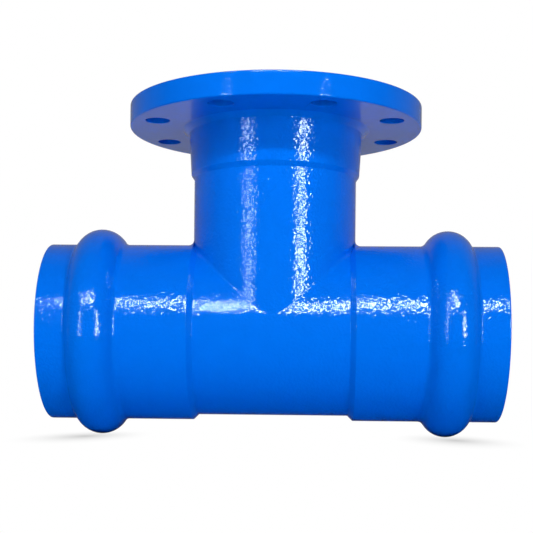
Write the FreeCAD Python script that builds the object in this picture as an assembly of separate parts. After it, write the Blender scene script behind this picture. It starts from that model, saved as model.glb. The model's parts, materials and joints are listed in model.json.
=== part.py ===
"""Double socket flanged tee for 160 mm plastic pressure pipe, with a DN 150 branch flange.

The body is one ductile iron casting. Two push-in sockets share the run, one at each end, and
each holds a rubber sealing ring in the round bulge near its mouth. A short branch rises from
the middle of the run to a drilled flange.

Units are millimetres. The origin is the centre of the bolt circle on the flange's bolting
face, +Z points out of the flange, and the run lies along X, below it.
"""
import FreeCAD, Part
import math
import os

# Pipe that the sockets take, and the bore that its water goes on through
PIPE_RADIUS = 80.0
PIPE_CLEARANCE = 0.7
STOP_HEIGHT = 6.0

# Run and its two sockets
HALF_LENGTH = 218.0
SOCKET_DEPTH = 138.0
SOCKET_WALL = 4.8
MIDDLE_WALL = 6.5
SHOULDER_SETBACK = 2.1
SHOULDER_LENGTH = 5.0
MOUTH_EDGE = 1.6
LEAD_IN_LENGTH = 6.0
LEAD_IN_DEPTH = 1.3
SADDLE_FILLET = 5.0

# Bulge over each seal; its rounds are short straight runs, so that the rings keep few facets
BULGE_FROM_MOUTH = 50.0
BULGE_HEIGHT = 14.8
BULGE_ARC_RADIUS = 24.4
BULGE_WALL = 5.6
BULGE_RUNS = 3
INNER_FILLET = 7.0
INNER_FILLET_RUNS = 1
OUTER_FILLET = 3.0
OUTER_FILLET_RUNS = 1
GROOVE_RUNS = 3

# Branch, from the flange down to the run
RUN_DEPTH = 220.0
BRANCH_WALL = 5.3
COLLAR_THICKNESS = 5.5
COLLAR_LENGTH = 40.0
COLLAR_DRAFT_DEG = 3.4
COLLAR_STEP_LENGTH = 4.5
FLARE_WIDTH = 6.5
FLARE_LENGTH = 4.5

# Flange, drilled to the usual DN 150 pattern for 10 and 16 bar
FLANGE_THICKNESS = 21.5
FLANGE_RIM = 11.0
FLANGE_EDGE = 1.2
NUT_ROOM = 28.7
BOLT_COUNT = 8
BOLT_HOLE_RADIUS = 11.5
FACE_MARGIN = 3.0
FACE_HEIGHT = 3.0
BORE_EDGE = 1.5

# Sealing ring, drawn as a pipe holds it: pressed back into its groove
SEAL_CLEARANCE = 0.3
SEAL_SQUEEZE_GAP = 0.4
SEAL_HALF_WIDTH = 12.0
SEAL_LAND_WIDTH = 13.0
SEAL_LEAD_IN = 3.0

# Radii about the run axis, worked out from the pipe outwards
BORE_RADIUS = PIPE_RADIUS - STOP_HEIGHT
MIDDLE_RADIUS = BORE_RADIUS + MIDDLE_WALL
SOCKET_BORE_RADIUS = PIPE_RADIUS + PIPE_CLEARANCE
SOCKET_RADIUS = SOCKET_BORE_RADIUS + SOCKET_WALL
BULGE_ARC_CENTRE = SOCKET_RADIUS + BULGE_HEIGHT - BULGE_ARC_RADIUS
GROOVE_ARC_RADIUS = BULGE_ARC_RADIUS - BULGE_WALL
SEAL_RADIUS = PIPE_RADIUS + SEAL_SQUEEZE_GAP

# Places along the run, worked out from the mouths inwards
BULGE_CENTRE = HALF_LENGTH - BULGE_FROM_MOUTH
PIPE_STOP = HALF_LENGTH - SOCKET_DEPTH
SOCKET_START = PIPE_STOP - SHOULDER_SETBACK

# Radii about the branch axis, and heights below the bolting face
BRANCH_RADIUS = BORE_RADIUS + BRANCH_WALL
COLLAR_TOP_RADIUS = BRANCH_RADIUS + COLLAR_THICKNESS
COLLAR_BOTTOM_RADIUS = COLLAR_TOP_RADIUS - COLLAR_LENGTH * math.tan(math.radians(COLLAR_DRAFT_DEG))
FLARE_RADIUS = COLLAR_TOP_RADIUS + FLARE_WIDTH
BOLT_CIRCLE_RADIUS = FLARE_RADIUS + NUT_ROOM
FLANGE_RADIUS = BOLT_CIRCLE_RADIUS + BOLT_HOLE_RADIUS + FLANGE_RIM
FACE_RADIUS = BOLT_CIRCLE_RADIUS - BOLT_HOLE_RADIUS - FACE_MARGIN
FLANGE_BOTTOM = -FLANGE_THICKNESS
COLLAR_TOP = FLANGE_BOTTOM - FLARE_LENGTH
COLLAR_BOTTOM = COLLAR_TOP - COLLAR_LENGTH
STEP_BOTTOM = COLLAR_BOTTOM - COLLAR_STEP_LENGTH

RUN_AXIS = FreeCAD.Vector(0, 0, -RUN_DEPTH)
X_AXIS = FreeCAD.Vector(1, 0, 0)
Z_AXIS = FreeCAD.Vector(0, 0, 1)
TOUCH = 0.02


def turned_about_branch(outline):
    """Solid turned about the branch axis from an outline of (radius, height)."""
    points = [FreeCAD.Vector(radius, 0, height) for radius, height in outline]
    return Part.Face(Part.makePolygon(points + points[:1])).revolve(FreeCAD.Vector(), Z_AXIS, 360)


def turned_about_run(outline):
    """Solid turned about the run axis from an outline of (place along X, radius)."""
    points = [FreeCAD.Vector(along, 0, radius - RUN_DEPTH) for along, radius in outline]
    return Part.Face(Part.makePolygon(points + points[:1])).revolve(RUN_AXIS, X_AXIS, 360)


def both_halves(half):
    """Whole outline from its half at +X, which runs outwards from near the middle."""
    return [(-along, radius) for along, radius in reversed(half)] + half


def arc_points(centre, radius, start, end, runs):
    """Ends of the straight runs that make an arc between two angles."""
    turns = [start + (end - start) * number / runs for number in range(runs + 1)]
    return [(centre[0] + radius * math.cos(turn), centre[1] + radius * math.sin(turn)) for turn in turns]


def bulge_foot(fillet):
    """Centre of the fillet at a bulge's foot, about the bulge, and its direction from the bulge."""
    rise = SOCKET_RADIUS + fillet - BULGE_ARC_CENTRE
    reach = math.sqrt((BULGE_ARC_RADIUS + fillet) ** 2 - rise ** 2)
    return reach, math.atan2(rise, reach)


def bulge_outline():
    """Outline of the bulge at +X, from its inner foot over the top to its outer foot."""
    inner_reach, inner_lean = bulge_foot(INNER_FILLET)
    outer_reach, outer_lean = bulge_foot(OUTER_FILLET)
    inner_centre = (BULGE_CENTRE - inner_reach, SOCKET_RADIUS + INNER_FILLET)
    outer_centre = (BULGE_CENTRE + outer_reach, SOCKET_RADIUS + OUTER_FILLET)
    top_centre = (BULGE_CENTRE, BULGE_ARC_CENTRE)
    down = -math.pi / 2
    up = math.pi / 2
    inner_foot = arc_points(inner_centre, INNER_FILLET, down, -inner_lean, INNER_FILLET_RUNS)
    rising = arc_points(top_centre, BULGE_ARC_RADIUS, math.pi - inner_lean, up, BULGE_RUNS)
    falling = arc_points(top_centre, BULGE_ARC_RADIUS, up, outer_lean, BULGE_RUNS)
    outer_foot = arc_points(outer_centre, OUTER_FILLET, outer_lean - math.pi, down, OUTER_FILLET_RUNS)
    return inner_foot + rising[1:] + falling[1:] + outer_foot[1:]


def groove_outline(centre, clearance):
    """Outline of the round groove for a seal, from bore to bore, or of a seal's back inside it."""
    lean = math.asin((SOCKET_BORE_RADIUS - BULGE_ARC_CENTRE) / GROOVE_ARC_RADIUS)
    middle = (centre, BULGE_ARC_CENTRE)
    return arc_points(middle, GROOVE_ARC_RADIUS - clearance, math.pi - lean, lean, GROOVE_RUNS)


def socket_run():
    """Full solid of both sockets end to end, each with the bulge over its seal."""
    half = bulge_outline() + [
        (HALF_LENGTH - MOUTH_EDGE, SOCKET_RADIUS),
        (HALF_LENGTH, SOCKET_RADIUS - MOUTH_EDGE),
        (HALF_LENGTH, 0),
    ]
    return turned_about_run(both_halves(half))


def middle_run():
    """Plain cylinder of the middle, long enough for the saddle and to end inside both sockets."""
    end = PIPE_STOP + BRANCH_RADIUS
    return turned_about_run(both_halves([(end, MIDDLE_RADIUS), (end, 0)]))


def with_branch(run, run_radius):
    """A straight run with the branch standing on it, and the saddle fillet between them."""
    branch = Part.makeCylinder(BRANCH_RADIUS, RUN_DEPTH + COLLAR_BOTTOM, RUN_AXIS, Z_AXIS)
    tee = run.fuse(branch).removeSplitter()
    saddle = []
    for edge in tee.Edges:
        points = [point - RUN_AXIS for point in edge.discretize(9)]
        off_branch = max(abs(math.hypot(point.x, point.y) - BRANCH_RADIUS) for point in points)
        off_run = max(abs(math.hypot(point.y, point.z) - run_radius) for point in points)
        if max(off_branch, off_run) < TOUCH:
            saddle.append(edge)
    return tee.makeFillet(SADDLE_FILLET, saddle)


def waist():
    """Space round the middle of the run, between the sloping shoulders of the sockets."""
    slope = (SOCKET_RADIUS - MIDDLE_RADIUS) / SHOULDER_LENGTH
    half = [
        (SOCKET_START - 2 * SHOULDER_LENGTH, SOCKET_RADIUS - 2 * SHOULDER_LENGTH * slope),
        (SOCKET_START, SOCKET_RADIUS),
        (SOCKET_START, HALF_LENGTH),
    ]
    return turned_about_run(both_halves(half))


def flange_and_collar():
    """Flange with its raised face, flared neck and drafted collar, as one turned solid."""
    return turned_about_branch([
        (0, STEP_BOTTOM),
        (BRANCH_RADIUS, STEP_BOTTOM),
        (COLLAR_BOTTOM_RADIUS, COLLAR_BOTTOM),
        (COLLAR_TOP_RADIUS, COLLAR_TOP),
        (FLARE_RADIUS, FLANGE_BOTTOM),
        (FLANGE_RADIUS - FLANGE_EDGE, FLANGE_BOTTOM),
        (FLANGE_RADIUS, FLANGE_BOTTOM + FLANGE_EDGE),
        (FLANGE_RADIUS, -FLANGE_EDGE),
        (FLANGE_RADIUS - FLANGE_EDGE, 0),
        (FACE_RADIUS, 0),
        (FACE_RADIUS, FACE_HEIGHT),
        (0, FACE_HEIGHT),
    ])


def run_inside():
    """What the core leaves open along the run: bore, pipe stops, socket bores, seal grooves."""
    half = [
        (PIPE_STOP, BORE_RADIUS),
        (PIPE_STOP, SOCKET_BORE_RADIUS),
        *groove_outline(BULGE_CENTRE, 0),
        (HALF_LENGTH - LEAD_IN_LENGTH, SOCKET_BORE_RADIUS),
        (HALF_LENGTH, SOCKET_BORE_RADIUS + LEAD_IN_DEPTH),
        (HALF_LENGTH, 0),
    ]
    return turned_about_run(both_halves(half))


def branch_inside():
    """Branch bore, from the run axis out through the flange's face."""
    return turned_about_branch([
        (0, -RUN_DEPTH),
        (BORE_RADIUS, -RUN_DEPTH),
        (BORE_RADIUS, FACE_HEIGHT - BORE_EDGE),
        (BORE_RADIUS + BORE_EDGE, FACE_HEIGHT),
        (0, FACE_HEIGHT),
    ])


def bolt_holes():
    """Bolt holes, drilled square to the face, with none on the centre lines."""
    holes = []
    for number in range(BOLT_COUNT):
        angle = 2 * math.pi * (number + 0.5) / BOLT_COUNT
        place = FreeCAD.Vector(math.cos(angle), math.sin(angle), 0) * BOLT_CIRCLE_RADIUS
        place.z = FLANGE_BOTTOM
        holes.append(Part.makeCylinder(BOLT_HOLE_RADIUS, FLANGE_THICKNESS, place, Z_AXIS))
    return Part.makeCompound(holes)


def tee_body():
    """Whole casting: the outside form, less its bores, grooves and bolt holes."""
    middle = with_branch(middle_run(), MIDDLE_RADIUS)
    sockets = with_branch(socket_run(), SOCKET_RADIUS).cut(waist())
    body = middle.fuse(sockets).fuse(flange_and_collar()).removeSplitter()
    for opening in (run_inside(), branch_inside(), bolt_holes()):
        body = body.cut(opening)
    return body


def socket_seal(side):
    """Rubber ring: back against the groove, a flat land on the pipe, and a lead-in to the mouth."""
    back = groove_outline(0, SEAL_CLEARANCE)
    side_rise = BULGE_ARC_RADIUS
    under = [
        (-SEAL_HALF_WIDTH - side_rise, 0),
        (-SEAL_HALF_WIDTH - side_rise, SEAL_RADIUS + side_rise),
        (-SEAL_HALF_WIDTH, SEAL_RADIUS),
        (-SEAL_HALF_WIDTH + SEAL_LAND_WIDTH, SEAL_RADIUS),
        (SEAL_HALF_WIDTH, SEAL_RADIUS + SEAL_LEAD_IN),
        (SEAL_HALF_WIDTH + side_rise, SEAL_RADIUS + SEAL_LEAD_IN + side_rise),
        (SEAL_HALF_WIDTH + side_rise, 0),
    ]
    ring, space = (
        turned_about_run([(side * (BULGE_CENTRE + along), radius) for along, radius in outline])
        for outline in (back + [(back[-1][0], 0), (back[0][0], 0)], under)
    )
    return ring.cut(space)


def save(shape, node):
    """Write one piece as a STEP file of its own, and say how big it is."""
    if len(shape.Solids) != 1 or not shape.isValid():
        raise ValueError("%s: %d solids, valid %s" % (node, len(shape.Solids), shape.isValid()))
    shape.Solids[0].exportStep("parts/%s.step" % node)
    print("%s: %.1f cm3" % (node, shape.Volume / 1000))


os.makedirs("parts", exist_ok=True)
save(tee_body(), "tee_body")
save(socket_seal(-1), "socket_seal_left")
save(socket_seal(1), "socket_seal_right")
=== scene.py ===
"""Double socket flanged tee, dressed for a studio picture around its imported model.

Every place is in metres, in the model's own frame: the origin is on the flange's bolting face,
+Z points out of the flange, and the run lies along X, RUN_DEPTH below it.
"""
import json
import math
import bmesh
import bpy
from mathutils import Matrix, Vector


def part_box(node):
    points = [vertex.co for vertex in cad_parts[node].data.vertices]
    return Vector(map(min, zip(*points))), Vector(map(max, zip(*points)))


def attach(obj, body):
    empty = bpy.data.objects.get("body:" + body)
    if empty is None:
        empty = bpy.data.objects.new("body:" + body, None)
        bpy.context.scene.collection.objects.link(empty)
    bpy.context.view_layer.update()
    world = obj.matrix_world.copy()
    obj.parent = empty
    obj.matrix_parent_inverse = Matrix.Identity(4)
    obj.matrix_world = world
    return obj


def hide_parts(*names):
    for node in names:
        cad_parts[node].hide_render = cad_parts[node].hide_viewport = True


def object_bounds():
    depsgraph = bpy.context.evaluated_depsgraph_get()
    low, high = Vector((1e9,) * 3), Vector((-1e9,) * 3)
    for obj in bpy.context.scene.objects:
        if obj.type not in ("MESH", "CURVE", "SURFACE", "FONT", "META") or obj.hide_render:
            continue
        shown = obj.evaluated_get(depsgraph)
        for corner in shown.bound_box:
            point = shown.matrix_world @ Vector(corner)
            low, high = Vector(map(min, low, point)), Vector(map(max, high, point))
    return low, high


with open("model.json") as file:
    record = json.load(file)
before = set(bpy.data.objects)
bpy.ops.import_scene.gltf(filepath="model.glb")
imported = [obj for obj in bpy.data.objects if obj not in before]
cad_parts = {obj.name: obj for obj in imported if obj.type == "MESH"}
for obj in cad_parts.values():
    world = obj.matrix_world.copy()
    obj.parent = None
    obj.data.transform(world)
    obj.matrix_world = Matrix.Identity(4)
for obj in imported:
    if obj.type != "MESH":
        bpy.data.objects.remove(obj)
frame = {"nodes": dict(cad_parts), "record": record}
model_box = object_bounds()
bpy.ops.object.select_all(action="DESELECT")


# Casting
# One ductile iron casting: a run with two sockets, and a branch that ends in a collar and a
# drilled flange. The saddle comes from the model's solid, cut free a little way beyond it.
BRANCH_RADIUS = 0.0793
SADDLE_REACH = 0.0095
CUT_HEIGHT = -0.0735
MERGE_WITHIN = 0.00001


def merged_copy(source, name):
    """Copy of a model solid's mesh as a new piece, with its loose triangles merged."""
    piece = bpy.data.objects.new(name, source.data.copy())
    bpy.context.collection.objects.link(piece)
    piece.data.materials.clear()
    bpy.context.view_layer.objects.active = piece
    piece.select_set(True)
    bpy.ops.mesh.customdata_custom_splitnormals_clear()
    bpy.ops.object.mode_set(mode="EDIT")
    bpy.ops.mesh.select_all(action="SELECT")
    bpy.ops.mesh.remove_doubles(threshold=MERGE_WITHIN)
    bpy.ops.object.mode_set(mode="OBJECT")
    return piece


def cut_beyond(place, outwards):
    """Cut the piece in edit mode by a plane, and clear what lies beyond it."""
    bpy.ops.mesh.select_all(action="SELECT")
    bpy.ops.mesh.bisect(plane_co=place, plane_no=outwards, clear_outer=True)


cut_along = BRANCH_RADIUS + SADDLE_REACH
casting = merged_copy(frame["nodes"]["tee_body"], "casting")
bpy.ops.object.mode_set(mode="EDIT")
cut_beyond((cut_along, 0, 0), (1, 0, 0))
cut_beyond((-cut_along, 0, 0), (-1, 0, 0))
cut_beyond((0, 0, CUT_HEIGHT), (0, 0, 1))
bpy.ops.object.mode_set(mode="OBJECT")
bpy.ops.object.select_all(action="DESELECT")


# Sockets of the casting
# Each end of the run is a push-in socket: a plain bore from the pipe stop, a groove for the
# seal with the round bulge outside it, and a short collar with a lead-in at the mouth.
MOUNTS = {mount["name"]: mount for mount in frame["record"]["mounts"]}
HALF_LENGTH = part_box("tee_body")[1][0]
RUN_DEPTH = -MOUNTS["socket_right"]["pos_m"][2]
SOCKET_BORE = MOUNTS["socket_right"]["dims"]["r_mm"] / 1000
SOCKET_WALL = 0.0048
SOCKET_RADIUS = SOCKET_BORE + SOCKET_WALL
BULGE_FROM_MOUTH = 0.050
BULGE_CENTRE = HALF_LENGTH - BULGE_FROM_MOUTH
BULGE_HEIGHT = 0.0148
BULGE_ARC = 0.0244
BULGE_WALL = 0.0056
INNER_FOOT = 0.007
OUTER_FOOT = 0.003
GROOVE_ARC = BULGE_ARC - BULGE_WALL
LEAD_IN_LENGTH = 0.006
LEAD_IN_DEPTH = 0.0013
MOUTH_ROUND = 0.0014
SMALL_ROUND = 0.0006
CUT_GAP = 0.0015
ARC_STEP = math.radians(9)
SPIN_STEPS = 192
FIRST_POINT_SIZE = 0.01
SPIN_MERGE_WITHIN = 0.000001


def arc_points(centre, radius, start, end):
    """Points along an arc between two angles."""
    count = max(2, math.ceil(abs(end - start) / ARC_STEP))
    turns = [start + (end - start) * number / count for number in range(count + 1)]
    across, along = centre
    return [(across + radius * math.cos(turn), along + radius * math.sin(turn)) for turn in turns]


def with_rounds(corners):
    """Outline through corners of (place, place, radius of its round), each rounded by an arc."""
    points = []
    for number, (across, along, rounding) in enumerate(corners):
        corner = Vector((across, along))
        if rounding == 0:
            points.append(tuple(corner))
            continue
        back = (Vector(corners[number - 1][:2]) - corner).normalized()
        on = (Vector(corners[(number + 1) % len(corners)][:2]) - corner).normalized()
        half = back.angle(on) / 2
        centre = corner + (back + on).normalized() * rounding / math.sin(half)
        first = corner + back * rounding / math.tan(half) - centre
        last = corner + on * rounding / math.tan(half) - centre
        start = math.atan2(first.y, first.x)
        turn = math.atan2(first.x * last.y - first.y * last.x, first.dot(last))
        points += arc_points(centre, rounding, start, start + turn)
    return points


def spun(name, points, centre, axis):
    """New piece: an outline of places, drawn point by point and spun about an axis."""
    bpy.ops.mesh.primitive_plane_add(size=FIRST_POINT_SIZE, location=(0, 0, 0))
    piece = bpy.context.object
    piece.name = name
    bpy.ops.object.mode_set(mode="EDIT")
    bpy.ops.mesh.select_mode(type="VERT")
    bpy.ops.mesh.merge(type="CENTER")
    bpy.ops.transform.translate(value=points[0])
    for before, after in zip(points, points[1:]):
        step = Vector(after) - Vector(before)
        bpy.ops.mesh.extrude_region_move(TRANSFORM_OT_translate={"value": step})
    bpy.ops.mesh.select_all(action="SELECT")
    bpy.ops.mesh.spin(steps=SPIN_STEPS, angle=2 * math.pi, center=centre, axis=axis)
    bpy.ops.mesh.select_all(action="SELECT")
    bpy.ops.mesh.remove_doubles(threshold=SPIN_MERGE_WITHIN)
    bpy.ops.object.mode_set(mode="OBJECT")
    bpy.ops.object.select_all(action="DESELECT")
    return piece


def spun_about_run(name, outline, side):
    """Piece spun about the run axis from an outline of (place along X, radius)."""
    points = [(side * along, 0, radius - RUN_DEPTH) for along, radius in outline]
    return spun(name, points, (0, 0, -RUN_DEPTH), (1, 0, 0))


def bulge_foot(fillet):
    """Centre of the fillet at a bulge's foot, about the bulge, and its direction from the bulge."""
    rise = SOCKET_RADIUS + fillet - bulge_arc_centre
    reach = math.sqrt((BULGE_ARC + fillet) ** 2 - rise ** 2)
    return reach, math.atan2(rise, reach)


bulge_arc_centre = SOCKET_RADIUS + BULGE_HEIGHT - BULGE_ARC
groove_lean = math.asin((SOCKET_BORE - bulge_arc_centre) / GROOVE_ARC)
inner_reach, inner_lean = bulge_foot(INNER_FOOT)
outer_reach, outer_lean = bulge_foot(OUTER_FOOT)
socket_outline = [(cut_along + CUT_GAP, SOCKET_RADIUS)]
socket_outline += arc_points((BULGE_CENTRE - inner_reach, SOCKET_RADIUS + INNER_FOOT), INNER_FOOT,
                             -math.pi / 2, -inner_lean)
socket_outline += arc_points((BULGE_CENTRE, bulge_arc_centre), BULGE_ARC,
                             math.pi - inner_lean, outer_lean)[1:]
socket_outline += arc_points((BULGE_CENTRE + outer_reach, SOCKET_RADIUS + OUTER_FOOT), OUTER_FOOT,
                             outer_lean - math.pi, -math.pi / 2)[1:]
socket_outline += with_rounds([
    (BULGE_CENTRE + outer_reach, SOCKET_RADIUS, 0),
    (HALF_LENGTH, SOCKET_RADIUS, MOUTH_ROUND),
    (HALF_LENGTH, SOCKET_BORE + LEAD_IN_DEPTH, SMALL_ROUND),
    (HALF_LENGTH - LEAD_IN_LENGTH, SOCKET_BORE, 0),
])[1:]
socket_outline += arc_points((BULGE_CENTRE, bulge_arc_centre), GROOVE_ARC,
                             groove_lean, math.pi - groove_lean)
socket_outline += [(cut_along + CUT_GAP, SOCKET_BORE)]
sockets = [spun_about_run("socket", socket_outline, side) for side in (-1, 1)]


# Flange of the casting
# The branch widens into a drafted collar, flares into the flange, and ends in a raised sealing
# face. The eight bolt holes are drilled after casting, with their edges broken.
FLANGE_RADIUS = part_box("tee_body")[1][1]
FACE_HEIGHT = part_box("tee_body")[1][2]
COLLAR_TOP_RADIUS = 0.0848
COLLAR_BOTTOM_RADIUS = 0.0824
FLARE_RADIUS = 0.0913
FLANGE_BOTTOM = -0.0215
FLARE_LENGTH = 0.0045
COLLAR_TOP = FLANGE_BOTTOM - FLARE_LENGTH
COLLAR_LENGTH = 0.040
COLLAR_BOTTOM = COLLAR_TOP - COLLAR_LENGTH
STEP_LENGTH = 0.0045
STEP_BOTTOM = COLLAR_BOTTOM - STEP_LENGTH
STEP_ROUND = 0.0008
COLLAR_BOTTOM_ROUND = 0.0012
COLLAR_TOP_ROUND = 0.002
FLARE_ROUND = 0.003
RIM_ROUND = 0.0014
FACE_RADIUS = 0.1055
BORE_RADIUS = 0.074
BORE_ROUND = 0.002
BOLT_CIRCLE = MOUNTS["flange_bolts"]["dims"]["pcd_mm"] / 2000
BOLT_COUNT = MOUNTS["flange_bolts"]["dims"]["count"]
BOLT_HOLE = MOUNTS["flange_bolts"]["dims"]["hole_r_mm"] / 1000
HOLE_SIDES = 64
HOLE_EDGE = 0.0005
DRILL_LENGTH = 3 * abs(FLANGE_BOTTOM)
ON_FACE = 0.00001
ON_HOLE = 0.0001
SMOOTH_UNDER = math.radians(32)

flange_outline = with_rounds([
    (BRANCH_RADIUS, CUT_HEIGHT + CUT_GAP, 0),
    (BRANCH_RADIUS, STEP_BOTTOM, STEP_ROUND),
    (COLLAR_BOTTOM_RADIUS, COLLAR_BOTTOM, COLLAR_BOTTOM_ROUND),
    (COLLAR_TOP_RADIUS, COLLAR_TOP, COLLAR_TOP_ROUND),
    (FLARE_RADIUS, FLANGE_BOTTOM, FLARE_ROUND),
    (FLANGE_RADIUS, FLANGE_BOTTOM, RIM_ROUND),
    (FLANGE_RADIUS, 0, RIM_ROUND),
    (FACE_RADIUS, 0, SMALL_ROUND),
    (FACE_RADIUS, FACE_HEIGHT, SMALL_ROUND),
    (BORE_RADIUS, FACE_HEIGHT, BORE_ROUND),
    (BORE_RADIUS, CUT_HEIGHT + CUT_GAP, 0),
])
flange = spun("flange", [(radius, 0, height) for radius, height in flange_outline], (0, 0, 0), (0, 0, 1))


def select_edges(mesh, wanted):
    """Select only the edges for which wanted(edge) is true."""
    bpy.ops.mesh.select_all(action="DESELECT")
    for edge in mesh.edges:
        edge.select_set(wanted(edge))
    mesh.select_flush(True)


def bridge_rims(mesh, near):
    """Join the two open rims whose points all satisfy near(place) with a band of faces."""
    select_edges(mesh, lambda edge: edge.is_boundary and all(near(point.co) for point in edge.verts))
    bpy.ops.mesh.bridge_edge_loops()


def joined_casting():
    """Join the turned ends to the middle, rim by rim, outside and inside."""
    for piece in [flange, *sockets, casting]:
        piece.select_set(True)
    bpy.context.view_layer.objects.active = casting
    bpy.ops.object.join()
    bpy.ops.object.mode_set(mode="EDIT")
    bpy.ops.mesh.select_mode(type="EDGE")
    mesh = bmesh.from_edit_mesh(casting.data)
    between = (SOCKET_BORE + SOCKET_RADIUS) / 2
    for side in (-1, 1):
        for outside in (True, False):
            bridge_rims(mesh, lambda place: place.x * side > cut_along - CUT_GAP
                        and (math.hypot(place.y, place.z + RUN_DEPTH) > between) == outside)
            mesh = bmesh.from_edit_mesh(casting.data)
    between = (BORE_RADIUS + BRANCH_RADIUS) / 2
    for outside in (True, False):
        bridge_rims(mesh, lambda place: place.z > CUT_HEIGHT - CUT_GAP
                    and (math.hypot(place.x, place.y) > between) == outside)
        mesh = bmesh.from_edit_mesh(casting.data)
    bpy.ops.mesh.select_all(action="SELECT")
    bpy.ops.mesh.normals_make_consistent(inside=False)
    bpy.ops.object.mode_set(mode="OBJECT")
    bpy.ops.object.select_all(action="DESELECT")


def hole_centre(number):
    """Place of a bolt hole's axis, half a step round from the centre lines."""
    angle = 2 * math.pi * (number + 0.5) / BOLT_COUNT
    return Vector((BOLT_CIRCLE * math.cos(angle), BOLT_CIRCLE * math.sin(angle)))


def drill_bolt_holes():
    """Drill the holes between the centre lines, and break their edges."""
    drills = []
    for number in range(BOLT_COUNT):
        place = (*hole_centre(number), FLANGE_BOTTOM / 2)
        bpy.ops.mesh.primitive_cylinder_add(vertices=HOLE_SIDES, radius=BOLT_HOLE,
                                            depth=DRILL_LENGTH, location=place)
        drills.append(bpy.context.object)
    for drill in drills:
        drill.select_set(True)
    bpy.ops.object.join()
    drill = bpy.context.object
    cut = casting.modifiers.new("bolt_holes", "BOOLEAN")
    cut.operation = "DIFFERENCE"
    cut.solver = "EXACT"
    cut.object = drill
    bpy.ops.object.select_all(action="DESELECT")
    bpy.context.view_layer.objects.active = casting
    casting.select_set(True)
    bpy.ops.object.modifier_apply(modifier=cut.name)
    bpy.data.objects.remove(drill)
    bpy.ops.object.mode_set(mode="EDIT")
    mesh = bmesh.from_edit_mesh(casting.data)
    select_edges(mesh, is_hole_edge)
    bpy.ops.mesh.bevel(offset=HOLE_EDGE, segments=2, affect="EDGES")
    bpy.ops.object.mode_set(mode="OBJECT")


def is_hole_edge(edge):
    """True for an edge on a hole's rim, on either face of the flange."""
    first, second = edge.verts
    if abs(first.co.z - second.co.z) > CUT_GAP:
        return False
    if min(abs(first.co.z), abs(first.co.z - FLANGE_BOTTOM)) > ON_FACE:
        return False
    turn = math.atan2(first.co.y, first.co.x)
    centre = hole_centre(round(turn * BOLT_COUNT / (2 * math.pi) - 0.5))
    return all(abs((point.co.xy - centre).length - BOLT_HOLE) < ON_HOLE for point in (first, second))


def smooth(piece):
    """Shade smooth across gentle turns, with flat faces kept flat by weighted normals."""
    bpy.ops.object.select_all(action="DESELECT")
    bpy.context.view_layer.objects.active = piece
    piece.select_set(True)
    bpy.ops.object.shade_smooth_by_angle(angle=SMOOTH_UNDER)
    weighted = piece.modifiers.new("weighted_normals", "WEIGHTED_NORMAL")
    weighted.keep_sharp = True
    bpy.ops.object.modifier_apply(modifier=weighted.name)
    piece.select_set(False)


joined_casting()
drill_bolt_holes()
smooth(casting)


# Coating of the casting
# The drilled casting is coated inside and out with fused epoxy powder. It flows as it cures, so
# it is glossy, with an orange peel and slow waves from the cast skin. The flange is machined
# before it is coated, so its peel is much finer.
COAT_BLUE = (0.0, 0.157, 0.82, 1)
COAT_BLUE_THICK = (0.0, 0.146, 0.77, 1)
COAT_ROUGHNESS = 0.045
COAT_SHEEN = (0.7, 0.95, 1.0, 1)
COAT_IOR = 1.6
PEEL_PER_METRE = 390
PEEL_HEIGHT = 0.00042
MACHINED_PEEL_HEIGHT = 0.00012
MACHINED_ABOVE = FLANGE_BOTTOM - 0.0005
WAVE_PER_METRE = 60
WAVE_HEIGHT = 0.0003
EDGE_RADIUS = 0.0012


def node(tree, kind, at, **settings):
    """Add a shader node, set its properties, and put values on its named inputs."""
    made = tree.nodes.new(kind)
    made.location = at
    for name, value in settings.items():
        if name in made.bl_rna.properties:
            setattr(made, name, value)
        else:
            made.inputs[name.replace("_", " ")].default_value = value
    return made


def blank_material(name):
    """New node material with its output and an empty Principled BSDF."""
    material = bpy.data.materials.new(name)
    material.use_nodes = True
    tree = material.node_tree
    tree.nodes.clear()
    output = node(tree, "ShaderNodeOutputMaterial", (900, 0))
    shader = node(tree, "ShaderNodeBsdfPrincipled", (600, 0))
    tree.links.new(shader.outputs["BSDF"], output.inputs["Surface"])
    return material, tree, shader


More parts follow.
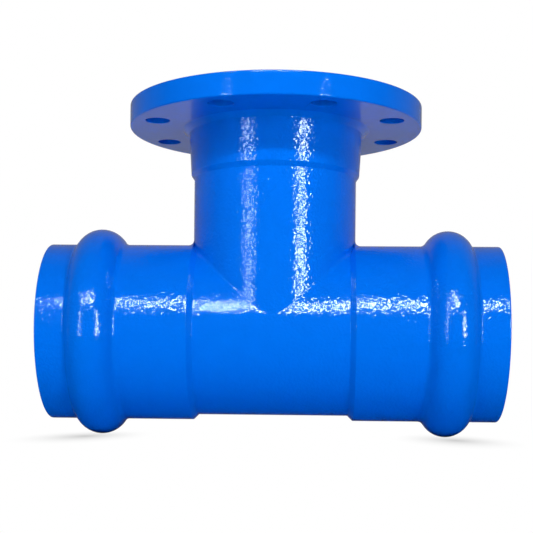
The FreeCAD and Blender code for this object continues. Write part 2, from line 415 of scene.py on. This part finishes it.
def moulded_skin():
    """Node group for a skin that flowed in its mould or oven: fine peel over slow waves."""
    group = bpy.data.node_groups.new("moulded_skin", "ShaderNodeTree")
    for name, kind in (("Peel Scale", "NodeSocketFloat"), ("Wave Scale", "NodeSocketFloat"),
                       ("Peel Height", "NodeSocketFloat"), ("Wave Height", "NodeSocketFloat"),
                       ("Normal", "NodeSocketVector")):
        group.interface.new_socket(name, in_out="INPUT", socket_type=kind)
    group.interface.new_socket("Normal", in_out="OUTPUT", socket_type="NodeSocketVector")
    group.interface.new_socket("Waves", in_out="OUTPUT", socket_type="NodeSocketFloat")
    given = node(group, "NodeGroupInput", (-800, 0))
    out = node(group, "NodeGroupOutput", (600, 0))
    place = node(group, "ShaderNodeTexCoord", (-800, 300))
    peel = node(group, "ShaderNodeTexNoise", (-500, 200), Detail=1.5, Roughness=0.4)
    wave = node(group, "ShaderNodeTexNoise", (-500, -100), Detail=1.0, Roughness=0.4)
    wave_bump = node(group, "ShaderNodeBump", (-100, -100), Strength=1.0)
    peel_bump = node(group, "ShaderNodeBump", (200, 0), Strength=1.0)
    for texture, scale in ((peel, "Peel Scale"), (wave, "Wave Scale")):
        group.links.new(place.outputs["Object"], texture.inputs["Vector"])
        group.links.new(given.outputs[scale], texture.inputs["Scale"])
    for bump, texture, height in ((wave_bump, wave, "Wave Height"), (peel_bump, peel, "Peel Height")):
        group.links.new(texture.outputs["Fac"], bump.inputs["Height"])
        group.links.new(given.outputs[height], bump.inputs["Distance"])
    group.links.new(given.outputs["Normal"], wave_bump.inputs["Normal"])
    group.links.new(wave_bump.outputs["Normal"], peel_bump.inputs["Normal"])
    group.links.new(peel_bump.outputs["Normal"], out.inputs["Normal"])
    group.links.new(wave.outputs["Fac"], out.inputs["Waves"])
    return group


skin_group = moulded_skin()


def blue_coating():
    """Glossy blue epoxy over iron, with a much finer peel on the machined flange."""
    material, tree, shader = blank_material("blue_epoxy_coating")
    edge = node(tree, "ShaderNodeBevel", (-500, -200), samples=6, Radius=EDGE_RADIUS)
    skin = node(tree, "ShaderNodeGroup", (-250, -100))
    skin.node_tree = skin_group
    for name, value in (("Peel Scale", PEEL_PER_METRE), ("Wave Scale", WAVE_PER_METRE),
                        ("Wave Height", WAVE_HEIGHT)):
        skin.inputs[name].default_value = value
    place = node(tree, "ShaderNodeTexCoord", (-900, 100))
    parts = node(tree, "ShaderNodeSeparateXYZ", (-700, 100))
    machined = node(tree, "ShaderNodeMapRange", (-500, 100))
    machined.inputs["From Min"].default_value = MACHINED_ABOVE - EDGE_RADIUS
    machined.inputs["From Max"].default_value = MACHINED_ABOVE
    machined.inputs["To Min"].default_value = PEEL_HEIGHT
    machined.inputs["To Max"].default_value = MACHINED_PEEL_HEIGHT
    tree.links.new(place.outputs["Object"], parts.inputs["Vector"])
    tree.links.new(parts.outputs["Z"], machined.inputs["Value"])
    tree.links.new(machined.outputs["Result"], skin.inputs["Peel Height"])
    film = node(tree, "ShaderNodeMix", (100, 200), data_type="RGBA")
    film.inputs["A"].default_value = COAT_BLUE
    film.inputs["B"].default_value = COAT_BLUE_THICK
    tree.links.new(edge.outputs["Normal"], skin.inputs["Normal"])
    tree.links.new(skin.outputs["Waves"], film.inputs["Factor"])
    tree.links.new(film.outputs["Result"], shader.inputs["Base Color"])
    tree.links.new(skin.outputs["Normal"], shader.inputs["Normal"])
    shader.inputs["Roughness"].default_value = COAT_ROUGHNESS
    shader.inputs["IOR"].default_value = COAT_IOR
    shader.inputs["Specular Tint"].default_value = COAT_SHEEN
    return material


casting.data.materials.append(blue_coating())
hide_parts("tee_body")
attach(casting, "root")


# Sealing rings
# Moulded rubber rings, pushed by hand into the grooves of both sockets. Each has a soft lip
# that the pipe presses back, and a lead-in towards the mouth. The rubber is matt black.
RUBBER_BLACK = (0.018, 0.018, 0.019, 1)
RUBBER_ROUGHNESS = 0.5
RUBBER_GRAIN_PER_METRE = 900
RUBBER_GRAIN_HEIGHT = 0.00006
RUBBER_WAVE_HEIGHT = 0.0002
SEAL_CLEARANCE = 0.0003
SEAL_LAND = 0.0804
SEAL_BACK_FROM = math.radians(36)
SEAL_BACK_TO = math.radians(151)


def seal_rubber():
    """Matt black rubber."""
    material, tree, shader = blank_material("seal_rubber")
    skin = node(tree, "ShaderNodeGroup", (-250, -100))
    skin.node_tree = skin_group
    for name, value in (("Peel Scale", RUBBER_GRAIN_PER_METRE), ("Wave Scale", WAVE_PER_METRE),
                        ("Peel Height", RUBBER_GRAIN_HEIGHT), ("Wave Height", RUBBER_WAVE_HEIGHT)):
        skin.inputs[name].default_value = value
    tree.links.new(skin.outputs["Normal"], shader.inputs["Normal"])
    shader.inputs["Base Color"].default_value = RUBBER_BLACK
    shader.inputs["Roughness"].default_value = RUBBER_ROUGHNESS
    return material


rubber = seal_rubber()
seal_arc = GROOVE_ARC - SEAL_CLEARANCE
seal_back = arc_points((0, bulge_arc_centre), seal_arc, SEAL_BACK_FROM, SEAL_BACK_TO)
# The ring's inner side, from the lip to the lead-in: place from the bulge's centre, radius, round.
under_seal = with_rounds([
    (-0.0162, 0.0846, 0),
    (-0.0146, 0.0830, 0.0004),
    (-0.0112, 0.0836, 0.0006),
    (-0.0131, 0.0816, 0.0004),
    (-0.0120, SEAL_LAND, 0.0004),
    (0.0010, SEAL_LAND, 0.004),
    (0.0120, SEAL_LAND + 0.003, 0.001),
    (0.0150, SEAL_LAND + 0.006, 0),
])
for side, name in ((-1, "socket_seal_left"), (1, "socket_seal_right")):
    outline = [(BULGE_CENTRE + along, radius) for along, radius in under_seal + seal_back + under_seal[:1]]
    ring = spun_about_run("sealing_ring", outline, side)
    bpy.context.view_layer.objects.active = ring
    bpy.ops.object.mode_set(mode="EDIT")
    bpy.ops.mesh.select_all(action="SELECT")
    bpy.ops.mesh.normals_make_consistent(inside=False)
    bpy.ops.object.mode_set(mode="OBJECT")
    smooth(ring)
    ring.data.materials.append(rubber)
    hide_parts(name)
    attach(ring, "root")


# Studio
# A floor of white paper, two tall soft boxes in front, one on each side, a small one high on
# the left, and a long overhead box across the run. The two fills aren't mirrored.
FLOOR_SIZE = 12
FLOOR_HEIGHT = model_box[0][2]
PAPER_WHITE = (0.95, 1.0, 0.95, 1)
# Painted reflection: to mirrored rays the floor is a glow, none in front and rising behind.
PAINTED_REFLECTION_REACH = 0.6
PAINTED_REFLECTION_BEHIND = 0.36
# Painted shadow on the floor, seen by the camera alone: soft pools of shade below the bulges.
PAINTED_SHADOW_HALF_WIDTH = 0.06
PAINTED_SHADOW_MIDDLE = -0.09
PAINTED_SHADOW_HALF_DEPTH = 0.2
PAINTED_SHADOW_DARKEST = 0.6
GLOW_IN_FRONT = 0.03
GLOW_BEHIND = 0.3
GLOW_REACH = 0.9
LAMPS_AIM = (0, 0, -0.16)


def studio_floor():
    """White paper, plain white to the camera but for painted shadows, soft pools below the bulges.

    In reflections it is a painted glow, not lit paper: dark in front of the tee and paler behind.
    """
    bpy.ops.mesh.primitive_plane_add(size=FLOOR_SIZE, location=(0, 0, FLOOR_HEIGHT))
    floor = bpy.context.object
    floor.name = "studio_floor"
    material = bpy.data.materials.new("white_paper")
    material.use_nodes = True
    tree = material.node_tree
    tree.nodes.clear()
    output = node(tree, "ShaderNodeOutputMaterial", (900, 0))
    seen = node(tree, "ShaderNodeLightPath", (-900, 500))
    place = node(tree, "ShaderNodeTexCoord", (-1200, 0))
    parts = node(tree, "ShaderNodeSeparateXYZ", (-1000, 0))
    tree.links.new(place.outputs["Object"], parts.inputs["Vector"])

    # Painted shadow: the floor's glow to the camera is dimmed in soft pools below the bulges.
    aside = node(tree, "ShaderNodeMath", (-800, 100), operation="ABSOLUTE")
    across = node(tree, "ShaderNodeMapRange", (-600, 100), clamp=False)
    across.inputs["From Min"].default_value = BULGE_CENTRE
    across.inputs["From Max"].default_value = BULGE_CENTRE + PAINTED_SHADOW_HALF_WIDTH
    forward = node(tree, "ShaderNodeMapRange", (-600, -150), clamp=False)
    forward.inputs["From Min"].default_value = PAINTED_SHADOW_MIDDLE
    forward.inputs["From Max"].default_value = PAINTED_SHADOW_MIDDLE + PAINTED_SHADOW_HALF_DEPTH
    around = node(tree, "ShaderNodeCombineXYZ", (-400, 0))
    painted_shadow_pool = node(tree, "ShaderNodeTexGradient", (-200, 0), gradient_type="QUADRATIC_SPHERE")
    painted_shadow_strength = node(tree, "ShaderNodeMapRange", (0, 0))
    painted_shadow_strength.inputs["To Min"].default_value = 1.0
    painted_shadow_strength.inputs["To Max"].default_value = PAINTED_SHADOW_DARKEST
    glow = node(tree, "ShaderNodeEmission", (200, 0))
    tree.links.new(parts.outputs["X"], aside.inputs[0])
    tree.links.new(aside.outputs["Value"], across.inputs["Value"])
    tree.links.new(parts.outputs["Y"], forward.inputs["Value"])
    tree.links.new(across.outputs["Result"], around.inputs["X"])
    tree.links.new(forward.outputs["Result"], around.inputs["Y"])
    tree.links.new(around.outputs["Vector"], painted_shadow_pool.inputs["Vector"])
    tree.links.new(painted_shadow_pool.outputs["Fac"], painted_shadow_strength.inputs["Value"])
    tree.links.new(painted_shadow_strength.outputs["Result"], glow.inputs["Strength"])

    paper = node(tree, "ShaderNodeBsdfDiffuse", (200, -200), Color=PAPER_WHITE)
    # Painted reflection: mirrored rays see a glow instead of the lit paper, dark in front and paler
    # behind.
    behind = node(tree, "ShaderNodeMapRange", (-600, -450))
    behind.inputs["From Max"].default_value = PAINTED_REFLECTION_REACH
    behind.inputs["To Max"].default_value = PAINTED_REFLECTION_BEHIND
    painted_reflection_glow = node(tree, "ShaderNodeEmission", (200, -450))
    lit = node(tree, "ShaderNodeMixShader", (450, -300))
    both = node(tree, "ShaderNodeMixShader", (650, 0))
    tree.links.new(parts.outputs["Y"], behind.inputs["Value"])
    tree.links.new(behind.outputs["Result"], painted_reflection_glow.inputs["Strength"])
    tree.links.new(seen.outputs["Is Glossy Ray"], lit.inputs["Fac"])
    tree.links.new(paper.outputs["BSDF"], lit.inputs[1])
    tree.links.new(painted_reflection_glow.outputs["Emission"], lit.inputs[2])
    tree.links.new(seen.outputs["Is Camera Ray"], both.inputs["Fac"])
    tree.links.new(lit.outputs["Shader"], both.inputs[1])
    tree.links.new(glow.outputs["Emission"], both.inputs[2])
    tree.links.new(both.outputs["Shader"], output.inputs["Surface"])
    floor.data.materials.append(material)


def studio_world():
    """White to the camera; for every other ray, dim in front and brighter towards the back."""
    world = bpy.data.worlds.new("studio")
    bpy.context.scene.world = world
    world.use_nodes = True
    tree = world.node_tree
    tree.nodes.clear()
    output = node(tree, "ShaderNodeOutputWorld", (900, 0))
    seen = node(tree, "ShaderNodeLightPath", (0, 300))
    place = node(tree, "ShaderNodeTexCoord", (-700, 0))
    parts = node(tree, "ShaderNodeSeparateXYZ", (-500, 0))
    depth = node(tree, "ShaderNodeMapRange", (-250, 100))
    depth.inputs["From Max"].default_value = GLOW_REACH
    depth.inputs["To Min"].default_value = GLOW_IN_FRONT
    depth.inputs["To Max"].default_value = GLOW_BEHIND
    surroundings = node(tree, "ShaderNodeBackground", (300, -100))
    plain = node(tree, "ShaderNodeBackground", (300, 100), Color=(1, 1, 1, 1), Strength=1.0)
    both = node(tree, "ShaderNodeMixShader", (600, 0))
    tree.links.new(place.outputs["Generated"], parts.inputs["Vector"])
    tree.links.new(parts.outputs["Y"], depth.inputs["Value"])
    tree.links.new(depth.outputs["Result"], surroundings.inputs["Strength"])
    tree.links.new(seen.outputs["Is Camera Ray"], both.inputs["Fac"])
    tree.links.new(surroundings.outputs["Background"], both.inputs[1])
    tree.links.new(plain.outputs["Background"], both.inputs[2])
    tree.links.new(both.outputs["Shader"], output.inputs["Surface"])


def soft_box(name, azimuth, elevation, distance, width, height, power, mirrored=True):
    """Rectangular lamp, placed about the tee by its direction in degrees, and turned to face it."""
    turn = math.radians(azimuth)
    rise = math.radians(elevation)
    away = Vector((math.sin(turn) * math.cos(rise), -math.cos(turn) * math.cos(rise), math.sin(rise)))
    light = bpy.data.lights.new(name, "AREA")
    light.shape = "RECTANGLE"
    light.size = width
    light.size_y = height
    light.energy = power
    lamp = bpy.data.objects.new(name, light)
    lamp.location = Vector(LAMPS_AIM) + away * distance
    lamp.rotation_euler = away.to_track_quat("Z", "Y").to_euler()
    lamp.visible_glossy = mirrored
    bpy.context.collection.objects.link(lamp)


studio_floor()
studio_world()
soft_box("right_box", azimuth=38, elevation=3, distance=2.4, width=0.2, height=1.0, power=23)
soft_box("left_box", azimuth=-34, elevation=3, distance=2.4, width=0.1, height=1.0, power=8)
soft_box("left_high_box", azimuth=-32, elevation=27, distance=2.4, width=0.22, height=0.25, power=6)
soft_box("overhead_box", azimuth=2, elevation=32, distance=2.2, width=1.2, height=0.09, power=24)
soft_box("front_fill", azimuth=-50, elevation=15, distance=2.4,
         width=1.6, height=1.0, power=2, mirrored=False)
soft_box("back_fill", azimuth=185, elevation=22, distance=2.4,
         width=1.6, height=1.0, power=7, mirrored=False)


# Camera
# The photograph looks slightly up at the tee from just above the floor, a little to its
# right. Its lens is given by its focal length in pixels of the photograph's frame.
FRAME_PIXELS = 533
SENSOR_MM = 36
FOCAL_PIXELS = 1152.2
CENTRE_ROW = 387.1
CAMERA_PLACE = (0.0361, -1.1334, -RUN_DEPTH - 0.0628)
CAMERA_YAW = -0.0376
CAMERA_PITCH = 0.0085
CAMERA_ROLL = 0.0105

ahead = Vector((math.sin(CAMERA_YAW) * math.cos(CAMERA_PITCH),
                math.cos(CAMERA_YAW) * math.cos(CAMERA_PITCH), math.sin(CAMERA_PITCH)))
level_right = Vector((math.cos(CAMERA_YAW), -math.sin(CAMERA_YAW), 0))
level_up = level_right.cross(ahead)
right = level_right * math.cos(CAMERA_ROLL) + level_up * math.sin(CAMERA_ROLL)
up = level_up * math.cos(CAMERA_ROLL) - level_right * math.sin(CAMERA_ROLL)
camera = bpy.data.objects.new("camera", bpy.data.cameras.new("camera"))
camera.data.sensor_width = SENSOR_MM
camera.data.lens = SENSOR_MM * FOCAL_PIXELS / FRAME_PIXELS
camera.data.shift_y = (CENTRE_ROW - FRAME_PIXELS / 2) / FRAME_PIXELS
camera.matrix_world = Matrix.Translation(CAMERA_PLACE) @ Matrix((right, up, -ahead)).transposed().to_4x4()
bpy.context.collection.objects.link(camera)
bpy.context.scene.camera = camera

bpy.context.scene.view_settings.view_transform = "Standard"
